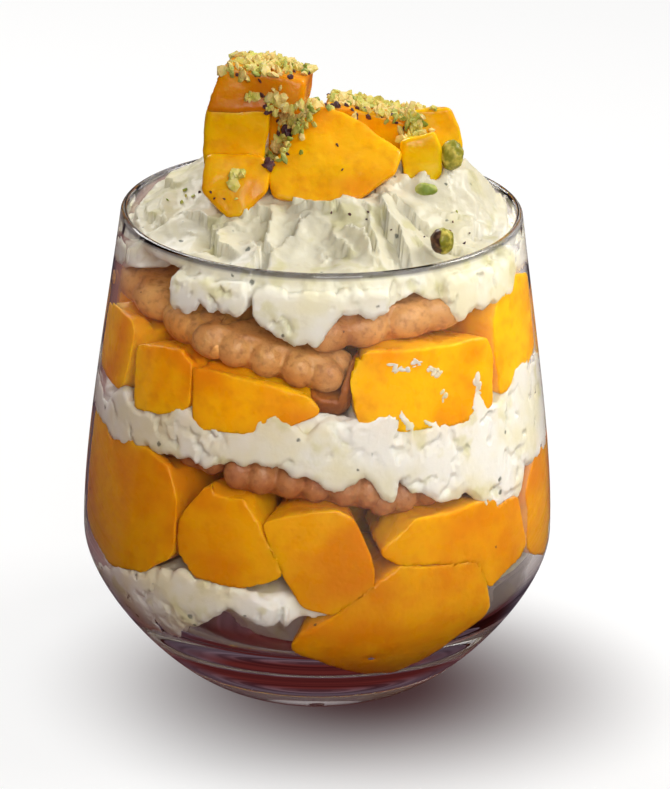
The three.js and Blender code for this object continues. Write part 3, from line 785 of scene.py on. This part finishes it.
def creamMaterial():
    material, tree, shader = newMaterial(
        "whippedCream", Subsurface_Weight=0.25, Subsurface_Scale=2.5 * mm,
        Subsurface_Radius=(1, 0.85, 0.6), Specular_IOR_Level=0.4,
    )
    patches = effect(tree, "mottle", Scale=90, Detail=3, Low=0.4, High=0.68)
    tint = effect(tree, "mottle", Scale=170, Detail=3, Low=0.54, High=0.68)
    high = effect(tree, "level", From=0.088, To=0.096)
    specks = effect(tree, "flecks", Scale=300, Size=0.2, Share=0.45)
    colour = blend(tree, high, cream["white"], cream["rich"])
    colour = blend(tree, patches, colour, cream["butter"])
    colour = blend(tree, span(tree, tint, 0, 0.6), colour, cream["leaf"])
    colour = blend(tree, span(tree, specks, 0, 0.85), colour, cream["speck"])
    feed(tree, shader.inputs["Base Color"], colour)
    feed(tree, shader.inputs["Roughness"], span(tree, patches, 0.35, 0.55))
    addBump(tree, shader, effect(tree, "relief", Coarse=500, Fine=1500, Share=0.3), 0.3, 0.5)
    return material


def edgeHeights(name, angles, seed):
    edge = creamEdges[name]
    turn = np.radians(angles)
    waves = ((5, 0.4), (11, 0.35), (19, 0.3), (31, 0.2))  # how many round the glass, and their share
    wander = sum(share * np.sin(turn * count + seed * count) for count, share in waves)
    heights = edge["back"] + edge["wander"] * wander
    if edge["traced"]:
        at, traced = zip(*edge["traced"])
        inFront = (angles >= at[0]) & (angles <= at[-1])
        heights = np.where(inFront, np.interp(angles, at, traced), heights)
    return heights


# A sheet of cream on the wall, rolled round from a flat grid, between an upper and a lower edge.
def wallBand(upper, lower, seed):
    clearSelection()
    bpy.ops.mesh.primitive_grid_add(x_subdivisions=cream["columns"], y_subdivisions=cream["rows"], size=2)
    band = bpy.context.object
    flat = pointsOf(band) * mm
    angles, t = flat[:, 0] * 180, flat[:, 1] / 2 + 0.5
    high = edgeHeights(upper, angles, seed) + ragged(angles, seed)
    low = edgeHeights(lower, angles, seed + 9) - ragged(angles, seed + 40)
    z = np.maximum(low + (high - low) * t, tumbler["floor"] + 0.3)
    bulge = np.minimum(np.minimum(t, 1 - t) * (high - low) * 0.6, 0.8)
    # where the layer ends, the sheet goes in under the fruit
    bulge = np.where(high - low < 4, -9, bulge)
    radius = bowlRadius(z) - 0.5 + bulge
    turn = np.radians(angles)
    movePoints(band, np.stack([radius * np.sin(turn), -radius * np.cos(turn), z], 1))
    edit(band, (bpy.ops.mesh.remove_doubles, {"threshold": 0.01 * mm}))
    modify(band, "SOLIDIFY", thickness=cream["bandThickness"] * mm, offset=-1)
    return band


# Short torn teeth along an edge.
def ragged(angles, seed):
    spots = [onCircle(angle, 30, seed * 7.3) for angle in angles]
    return cream["teeth"] * np.array([noise.noise(p * 0.45) + 0.8 * noise.noise(p * 1.1) for p in spots])


# Flakes of cream that lap over each other, on a surface that is unrolled to u and v, in mm. Each
# is (u, v, heading, length, width, lip): it starts at (u, v), where its torn edge faces the
# heading, rises to its lip there and drops to a groove before it.
def flakeRelief(flakes, u, v):
    raised = np.zeros(len(u))
    groove = np.zeros(len(u))
    for index, (u0, v0, heading, length, width, lip) in enumerate(flakes):
        reach = length / 2 + width
        near = np.flatnonzero((abs(u - u0) < reach) & (abs(v - v0) < reach))
        c, s = math.cos(math.radians(heading)), math.sin(math.radians(heading))
        du, dv = u[near] - u0, v[near] - v0
        along = (dv * c - du * s) / (length / 2)
        torn = 0.07 * width * (np.sin(along * 6 + index) + 0.6 * np.sin(along * 15 + 2 * index))
        ahead = du * c + dv * s + 0.3 * width * along ** 2 + torn
        ends = np.sqrt(np.clip(1 - along ** 2, 0, 1))
        rise = lip * ends * np.clip(1 + ahead / width, 0, 1) ** 1.4
        raised[near] = np.maximum(raised[near], np.where(ahead < 0, rise, 0))
        hollow = 0.7 * lip * ends * np.exp(-np.maximum(ahead, 0) / 1.2)
        groove[near] = np.maximum(groove[near], np.where(ahead > 0, hollow, 0))
    return np.where(raised > 0.15 * groove, raised, raised - groove)


# Without a heading, a flake faces away from the middle.
def randomFlakes(u, v, count, seed, length, width, lip, heading=None):
    draw = random.Random(seed)
    flakes = []
    for i in range(count):
        at = (draw.uniform(*u), draw.uniform(*v))
        outwards = math.degrees(math.atan2(at[1], at[0]))
        turn = draw.gauss(outwards if heading is None else heading, 50)
        flakes.append((*at, turn, draw.uniform(*length), draw.uniform(*width), draw.uniform(*lip)))
    return flakes


def foldMound(piece, flakes):
    points, normals = pointsOf(piece), pointsOf(piece, "normal")
    inner = np.interp(radiusOf(points), (31, 36), (1, 0.25))  # the folds end at the glass
    upward = (normals[:, 2] > 0.15) & (points[:, 2] > 89)
    change = flakeRelief(flakes, points[:, 0], points[:, 1]) - 0.5
    points[:, 2] += np.where(upward, change * inner, 0)
    movePoints(piece, points)


# Against the glass the lips of the flakes touch it, and the rest lies back from it.
def foldWall(piece, flakes):
    points = pointsOf(piece)
    radius = radiusOf(points)
    around = anglesOf(points) * 0.72  # mm along the wall
    level = flakeRelief(flakes, around, points[:, 2]) - 0.35
    outside = radius > bowlRadius(points[:, 2]) - cream["bodyInset"]
    change = np.where(outside, np.clip(level, -cream["recess"], 0), 0)
    points[:, :2] *= (1 + change / radius)[:, None]
    movePoints(piece, points)


def smear(angle, z, width, height, count):
    draw = random.Random(round(angle * z))
    scraps = []
    for i in range(count):
        across, up = draw.uniform(-0.4, 0.4) * width, draw.uniform(-0.4, 0.4) * height
        at = onCircle(angle + math.degrees(across / bowlRadius(z)), bowlRadius(z) - 0.1, z + up)
        wide = max(0.24 * width, 1) * draw.uniform(0.7, 1.6)
        high = max(0.4 * height, 0.9) * draw.uniform(0.6, 1.5)
        place = standing(at, (draw.uniform(-50, 50), -4, angle))
        clearSelection()
        bpy.ops.mesh.primitive_ico_sphere_add(subdivisions=3, radius=mm / 2)
        scrap = bpy.context.object
        scrap.data.transform(place @ Matrix.Diagonal((wide, 1.3, high, 1)))
        scraps.append(scrap)
    return scraps


def treeOf(*objs):
    verts = []
    faces = []
    for obj in objs:
        start = len(verts)
        verts += [v.co.copy() for v in obj.data.vertices]
        faces += [[start + i for i in p.vertices] for p in obj.data.polygons]
    return BVHTree.FromPolygons(verts, faces)


whippedCream = creamMaterial()
creamReach = reachShape("creamReach", cream["reach"])
creamFluff = cloudTexture("creamFluff", 2.2, 2)
# the folds of the mound that show most in front
moundFlakes = [
    (13, -23, 205, 20, 5, 3.4), (9.4, -26, 195, 14, 3, 2), (18, -25.3, 200, 11, 3, 1.8),
    (-19.3, -22.4, 200, 15, 7, 3), (-10, -23.3, 182, 18, 5, 2.6), (-5.2, -15.5, 230, 10, 5, 2.4),
    (-30.3, -5, 185, 17, 4, 2), (-17.5, -16.5, 268, 11, 6, 2.6), (3.8, -27, 225, 9, 4, 2.2),
    (27, -12, -65, 14, 5, 2), (0, -19, 265, 14, 6, 2.6), (24, -20, -100, 12, 6, 2.2),
]
# the rest of the mound's flakes, and those on the wall: two sizes of each
mound = {"u": (-36, 36), "v": (-36, 36)}
moundSizes = [
    {"count": 70, "seed": 5, "length": (9, 22), "width": (4, 9), "lip": (1.2, 2.8)},
    {"count": 150, "seed": 6, "length": (3, 7), "width": (1.5, 4), "lip": (0.4, 1.1)},
]
wallSizes = [
    {"count": 240, "seed": 7, "length": (5, 14), "width": (3, 8), "lip": (0.5, 1.9), "heading": -40},
    {"count": 500, "seed": 8, "length": (2, 5), "width": (1, 3), "lip": (0.3, 1.3), "heading": -80},
]
creamLayers = {
    "cream_top": {"name": "creamTop", "edges": ("topUpper", "topLower"), "fluff": 0.45},
    "cream_middle": {"name": "creamMiddle", "edges": ("middleUpper", "middleLower"), "fluff": 0.45},
    "cream_bottom": {"name": "creamBottom", "edges": ("bottomUpper", "bottomLower"), "fluff": 0.65},
}


def creamLayer(node, name, edges, fluff):
    piece = nodeCopy(node, name)
    # the band makes the outside, so the body keeps back from it, and its underside above the band's
    points = pointsOf(piece)
    radius = radiusOf(points)
    inset = bowlRadius(points[:, 2]) - cream["bodyInset"]
    points[:, :2] *= np.minimum(1, inset / radius)[:, None]
    if node == "cream_bottom":
        low = edgeHeights(edges[1], anglesOf(points), len(name) + 9) + 1
        points[:, 2] = np.where((radius > 20) & (points[:, 2] < low), low, points[:, 2])
    movePoints(piece, points)
    band = wallBand(*edges, seed=len(name))
    joined([piece, band], name)
    modify(piece, "REMESH", mode="VOXEL", voxel_size=cream["voxel"][node] * mm)
    modify(piece, "SMOOTH", factor=0.5, iterations=cream["soften"])
    swell(piece, cream["swell"])
    if node == "cream_top":
        rest = [flake for sizes in moundSizes for flake in randomFlakes(**mound, **sizes)]
        foldMound(piece, moundFlakes + rest)
    high, low = (creamEdges[edge]["back"] for edge in edges)
    wall = {"u": (-130, 130), "v": (low - 8, high + 5)}
    foldWall(piece, [flake for sizes in wallSizes for flake in randomFlakes(**wall, **sizes)])
    if node == "cream_middle":
        joined([piece] + [scrap for place in creamSmears for scrap in smear(*place)], name)
    displace(piece, creamFluff, fluff)
    pressToGlass(piece, creamReach)
    return dress(piece, whippedCream, "cream", node)


creamPieces = {node: creamLayer(node, **settings) for node, settings in creamLayers.items()}
print("cream spooned in")


# Pistachios

nuts = {
    "pale": (0.78, 0.6, 0.2),
    "green": (0.22, 0.3, 0.03),
    "skin": (0.045, 0.015, 0.03),
}
# The camera comes here already, because the nuts are placed by where they show in the picture.
camera = {
    "at": (0, -552.63, 280.67),
    "aim": (3.1, 0, 56.5),
    "roll": -0.99,
    "focal": 3063,  # in pixels of the frame
    "frame": (670, 789),
}


def nutMaterial(name, first, second, third):
    material, tree, shader = newMaterial(
        name, Subsurface_Weight=0.12, Subsurface_Scale=1.2 * mm, Roughness=0.55,
    )
    patches = effect(tree, "mottle", Scale=330, Detail=2, Low=0.4, High=0.6)
    spots = effect(tree, "mottle", Scale=900, Detail=3, Low=0.55, High=0.7)
    colour = blend(tree, patches, first, second)
    colour = blend(tree, span(tree, spots, 0, 0.6), colour, third)
    feed(tree, shader.inputs["Base Color"], colour)
    addBump(tree, shader, effect(tree, "relief", Coarse=900, Fine=3000, Share=0.5), 0.5, 0.3)
    return material


paleNut = nutMaterial("paleKernel", nuts["pale"], (0.6, 0.55, 0.1), (0.82, 0.7, 0.38))
greenNut = nutMaterial("greenKernel", nuts["green"], (0.5, 0.52, 0.12), (0.22, 0.3, 0.05))
nutSkin = nutMaterial("nutSkin", nuts["skin"], (0.1, 0.03, 0.03), (0.02, 0.01, 0.02))


# Chips of a chopped nut: a few shapes, each with some corners knocked in.
def chipShapes(count, seed):
    draw = random.Random(seed)
    made = []
    for i in range(count):
        clearSelection()
        bpy.ops.mesh.primitive_ico_sphere_add(subdivisions=1, radius=mm)
        chip = bpy.context.object
        chip.name = "chip"
        for vertex in chip.data.vertices:
            vertex.co *= draw.uniform(0.62, 1.12)
        size = (draw.uniform(0.9, 1.5), draw.uniform(0.6, 1.1), draw.uniform(0.4, 0.7))
        edit(chip, (bpy.ops.transform.resize, {"value": size}))
        made.append(chip)
    return made


chips = chipShapes(6, 3)
carriers = treeOf(*topPieces, creamPieces["cream_top"])


# The line of sight through a point of the picture, and where it meets what carries the nuts.
def seenAt(px, py):
    eye, aim = Vector(camera["at"]), Vector(camera["aim"])
    forward = (aim - eye).normalized()
    right = forward.cross(Vector((0, 0, 1))).normalized()
    up = right.cross(forward)
    x, y = px - camera["frame"][0] / 2, camera["frame"][1] / 2 - py
    roll = math.radians(camera["roll"])
    u = x * math.cos(roll) + y * math.sin(roll)
    v = y * math.cos(roll) - x * math.sin(roll)
    sight = (forward + right * u / camera["focal"] + up * v / camera["focal"]).normalized()
    return carriers.ray_cast(eye * mm, sight)[:2]


def strewn(name, spots, material, slot, seed):
    draw = random.Random(seed)
    made = []
    for at, normal, size in spots:
        turn = Euler((draw.uniform(0, 6.3), draw.uniform(0, 6.3), draw.uniform(0, 6.3))).to_matrix().to_4x4()
        place = Matrix.Translation(at + normal * size * 0.3 * mm)
        made.append(copied(draw.choice(chips), "grain", place @ turn @ Matrix.Scale(size, 4)))
    heap = dress(joined(made, name), material, slot)
    for polygon in heap.data.polygons:
        polygon.use_smooth = False
    return heap


# Nuts along rows. A row is a stretch of the picture from (x, y) to (x, y), in pixels of the
# camera's frame, with its half width, the count, and the smallest and largest size in mm.
def alongRows(rows, seed):
    draw = random.Random(seed)
    spots = []
    for x0, y0, x1, y1, half, count, small, large in rows:
        for i in range(count):
            t = draw.random()
            px = lerp(x0, x1, t) + draw.gauss(0, half / 2)
            py = lerp(y0, y1, t) + draw.gauss(0, half / 2)
            hit, normal = seenAt(px, py)
            if hit is None:
                continue
            spots.append((hit, normal, draw.uniform(small, large)))
    return spots


# The same from above, for the sides that the picture does not show: (x, y, radius, count) in mm.
def onTop(patches, small, large, seed):
    lowest = 98 * mm
    draw = random.Random(seed)
    spots = []
    for x, y, radius, count in patches:
        for i in range(count):
            at = Vector((x + draw.gauss(0, radius / 2), y + draw.gauss(0, radius / 2), 150)) * mm
            hit, normal = carriers.ray_cast(at, Vector((0, 0, -1)))[:2]
            if hit is not None and hit.z > lowest:
                spots.append((hit, normal, draw.uniform(small, large)))
    return spots


paleRows = [
    (232, 68, 312, 62, 10, 80, 0.5, 1.3),
    (318, 95, 345, 92, 8, 50, 0.5, 1.2),
    (335, 92, 420, 122, 9, 110, 0.5, 1.2),
    (316, 98, 268, 160, 9, 90, 0.5, 1.1),
    (270, 96, 300, 130, 9, 50, 0.5, 1.1),
    (246, 96, 250, 99, 1, 3, 0.8, 1.1),
    (232, 180, 246, 170, 4, 9, 0.7, 1.4),
    (250, 92, 256, 100, 3, 4, 0.7, 1.1),
]
palePatches = [(-12, 0, 9, 45), (-4, 5, 5, 40), (8, 10, 8, 60), (17, 2, 5, 15)]
greenRows = [
    (335, 92, 420, 122, 9, 50, 0.5, 1.1),
    (318, 100, 275, 158, 8, 40, 0.5, 1.1),
    (225, 72, 312, 70, 9, 16, 0.5, 1.1),
    (150, 200, 470, 220, 14, 8, 0.3, 0.6),
]
skinRows = [
    (286, 128, 289, 133, 1, 3, 1.2, 1.6),
    (265, 161, 267, 168, 1, 4, 1, 1.4),
    (264, 98, 300, 160, 8, 8, 0.4, 0.9),
    (318, 100, 420, 125, 9, 24, 0.4, 0.8),
    (225, 75, 310, 75, 8, 7, 0.3, 0.6),
    (337, 138, 340, 172, 2, 3, 0.25, 0.4),
    (150, 190, 480, 240, 16, 14, 0.2, 0.4),
]
paleSpots = alongRows(paleRows, 5) + onTop(palePatches, 0.5, 1.3, 8)
greenSpots = alongRows(greenRows, 6) + onTop([(0, 5, 12, 30)], 0.5, 1.1, 9)
skinSpots = alongRows(skinRows, 7) + onTop([(0, 5, 12, 12)], 0.3, 0.7, 10)
strewn("choppedPale", paleSpots, paleNut, "pistachio", 21)
strewn("choppedGreen", greenSpots, greenNut, "pistachio", 22)
strewn("choppedSkin", skinSpots, nutSkin, "pistachio", 23)

kernels = {
    "front": {"at": (22, -25.6, 97.4), "radius": 2.1, "stretch": (1, 0.9, 1.15)},
    "right": {"at": (24.2, -4.6, 107), "radius": 2.2, "stretch": (1, 0.9, 1.3)},
    "sliver": {"at": (19.2, -14.6, 103.6), "radius": 1.6, "stretch": (1.3, 0.8, 0.7)},
}


def kernelMaterial():
    material, tree, shader = newMaterial("wholeKernel", Subsurface_Weight=0.12, Subsurface_Scale=1.2 * mm)
    patches = effect(tree, "mottle", Scale=300, Detail=2, Low=0.3, High=0.7)
    place = addNode(tree, "ShaderNodeTexCoord")
    parts = addNode(tree, "ShaderNodeSeparateXYZ", {0: place.outputs["Object"]})
    shift = mathNode(tree, "MULTIPLY_ADD", patches, 0.003, parts.outputs["X"])
    # the skin is on the left, up to about this x in metres
    halves = ramp(tree, shift.outputs[0], 0.0238, 0.023)
    streaks = effect(tree, "mottle", Scale=700, Detail=3, Low=0.4, High=0.7)
    flesh = blend(tree, streaks, (0.26, 0.25, 0.015), (0.68, 0.57, 0.09))
    skin = blend(tree, streaks, (0.05, 0.02, 0.012), (0.22, 0.1, 0.04))
    feed(tree, shader.inputs["Base Color"], blend(tree, halves, flesh, skin))
    feed(tree, shader.inputs["Roughness"], span(tree, streaks, 0.35, 0.55))
    addBump(tree, shader, effect(tree, "relief", Coarse=700, Fine=2200, Share=0.4), 0.5, 0.4)
    return material


wholeKernel = kernelMaterial()
kernelDents = cloudTexture("kernelDents", 1.6, 2)
for label, settings in kernels.items():
    clearSelection()
    bpy.ops.mesh.primitive_ico_sphere_add(subdivisions=4, radius=settings["radius"] * mm)
    kernel = bpy.context.object
    kernel.name = "pistachio" + label.title()
    edit(kernel, (bpy.ops.transform.resize, {"value": settings["stretch"]}))
    kernel.data.transform(Matrix.Translation(Vector(settings["at"]) * mm))
    displace(kernel, kernelDents, 0.8)
    dress(kernel, wholeKernel if label != "sliver" else greenNut, "pistachio", "pistachio_" + label)
print("pistachios scattered")

for tool in (mangoReach, biscuitReach, creamReach, *chips):
    bpy.data.objects.remove(tool)


# Studio

def makeCamera():
    lens = bpy.data.cameras.new("camera")
    holder = linked("camera", lens)
    lens.sensor_width = 36  # along the longer side of the frame
    lens.lens = camera["focal"] / max(camera["frame"]) * lens.sensor_width
    lens.clip_start = 0.01
    eye, aim = Vector(camera["at"]) * mm, Vector(camera["aim"]) * mm
    look = (aim - eye).to_track_quat("-Z", "Y").to_matrix().to_4x4()
    roll = Matrix.Rotation(math.radians(-camera["roll"]), 4, "Z")
    holder.matrix_world = Matrix.Translation(eye) @ look @ roll
    bpy.context.scene.camera = holder


# Each lamp is a square that faces the middle of the glass, in metres and watts.
lamps = {
    "key": {"at": (0.42, 0.1, 0.46), "side": 0.24, "watts": 2.3, "colour": (1, 0.985, 0.965)},
    "back": {"at": (-0.26, 0.42, 0.5), "side": 0.3, "watts": 2.3, "colour": (1, 0.99, 0.98)},
    "front": {"at": (0.1, -0.6, 0.38), "side": 0.3, "watts": 2.1, "colour": (1, 0.985, 0.965)},
}


def areaLight(name, at, side, watts, colour):
    light = bpy.data.lights.new(name, "AREA")
    light.shape = "RECTANGLE"
    light.size = light.size_y = side
    light.energy = watts
    light.color = colour
    holder = linked(name, light)
    away = Vector(at) - Vector((0, 0, 0.06))
    holder.matrix_world = Matrix.Translation(Vector(at)) @ away.to_track_quat("Z", "Y").to_matrix().to_4x4()


# The floor is pale, with a painted soft shade round the foot. What the glass and the food see of it glows
# maroon with faint rings, purple behind the middle, and paler far off on the right.
shade = {"middle": (0.009, -0.012, 0), "size": (0.071, 0.057, 1), "dark": (0.075, 0.038, 0.04)}
seenColours = {
    "maroon": ((0.04, 0.006, 0.007), (0.11, 0.018, 0.016)),
    "purple": ((0.03, 0.02, 0.03), (0.17, 0.12, 0.15)),
    "far": ((0.24, 0.1, 0.08), (0.8, 0.7, 0.66)),
}


def glow(tree, colour):
    return addNode(tree, "ShaderNodeEmission", {"Color": colour, "Strength": 1}).outputs[0]


def floorMaterial():
    material, tree, shader = newMaterial("floor", Roughness=0.9, Specular_IOR_Level=0)
    place = addNode(tree, "ShaderNodeTexCoord").outputs["Object"]
    parts = addNode(tree, "ShaderNodeSeparateXYZ", {0: place})
    shift = vectorMath(tree, "SUBTRACT", place, shade["middle"])
    shrink = vectorMath(tree, "DIVIDE", shift.outputs[0], shade["size"])
    away = vectorMath(tree, "LENGTH", shrink.outputs[0]).outputs["Value"]
    soft = ramp(tree, away, 1, 0.12, "SMOOTHSTEP")
    shine = blend(tree, soft, (1, 1, 1), shade["dark"])
    feed(tree, shader.inputs["Base Color"], blend(tree, soft, (0.85, 0.85, 0.85), shade["dark"]))
    far = vectorMath(tree, "LENGTH", place).outputs["Value"]
    around = addNode(tree, "ShaderNodeCombineXYZ", {"X": far}).outputs[0]
    rings = addNode(tree, "ShaderNodeTexNoise", {"Vector": around, "Scale": 260, "Detail": 3})
    stripes = ramp(tree, rings.outputs["Fac"], 0.4, 0.62)
    behind = ramp(tree, parts.outputs["Y"], -0.006, 0.01)
    maroon = blend(tree, stripes, *seenColours["maroon"])
    purple = blend(tree, stripes, *seenColours["purple"])
    near = blend(tree, behind, maroon, purple)
    side = ramp(tree, parts.outputs["X"], -0.1, 0.1, "SMOOTHSTEP")
    edge = blend(tree, side, *seenColours["far"])
    fade = ramp(tree, far, 0.05, 0.1, "SMOOTHSTEP")
    path = addNode(tree, "ShaderNodeLightPath")
    pale = mixShaders(tree, 0.75, shader.outputs[0], glow(tree, shine))
    below = glow(tree, blend(tree, fade, near, edge))
    through = mixShaders(tree, path.outputs["Is Transmission Ray"], glow(tree, near), below)
    seen = mixShaders(tree, path.outputs["Is Camera Ray"], through, pale)
    feed(tree, tree.nodes["Material Output"].inputs["Surface"], seen)
    return material


# White to the camera. The light that it gives comes from the right and from above: each colour
# goes from the far side to the near one.
sky = {
    "light": ((0.1, 0.085, 0.07), (0.48, 0.47, 0.45)),
    "mirrored": ((0.05, 0.025, 0.025), (0.26, 0.25, 0.26)),
    "through": ((0.22, 0.13, 0.13), (0.85, 0.83, 0.84)),
}


def makeWorld():
    world = bpy.data.worlds.new("studio")
    bpy.context.scene.world = world
    world.use_nodes = True
    tree = world.node_tree
    tree.nodes.clear()
    place = addNode(tree, "ShaderNodeTexCoord")
    lean = vectorMath(tree, "DOT_PRODUCT", place.outputs["Generated"], (0.6, 0.1, 0.8))
    fade = ramp(tree, lean.outputs["Value"], -0.5, 1, "SMOOTHSTEP")
    path = addNode(tree, "ShaderNodeLightPath")
    light, mirrored, through = (blend(tree, fade, *colours) for colours in sky.values())
    colour = blend(tree, path.outputs["Is Glossy Ray"], light, mirrored)
    colour = blend(tree, path.outputs["Is Transmission Ray"], colour, through)
    colour = blend(tree, path.outputs["Is Camera Ray"], colour, (1, 1, 1))
    backdrop = addNode(tree, "ShaderNodeBackground", {"Color": colour, "Strength": 1})
    addNode(tree, "ShaderNodeOutputWorld", {"Surface": backdrop.outputs[0]})


makeCamera()
makeWorld()
for name, settings in lamps.items():
    areaLight(name, **settings)

clearSelection()
# a hair above the foot, so that no light gets in between them
bpy.ops.mesh.primitive_plane_add(size=6, location=(0, 0, 0.03 * mm))
floor = bpy.context.object
floor.name = "floor"
floor.data.materials.append(floorMaterial())
bpy.context.scene.view_settings.view_transform = "Standard"
print("studio set")
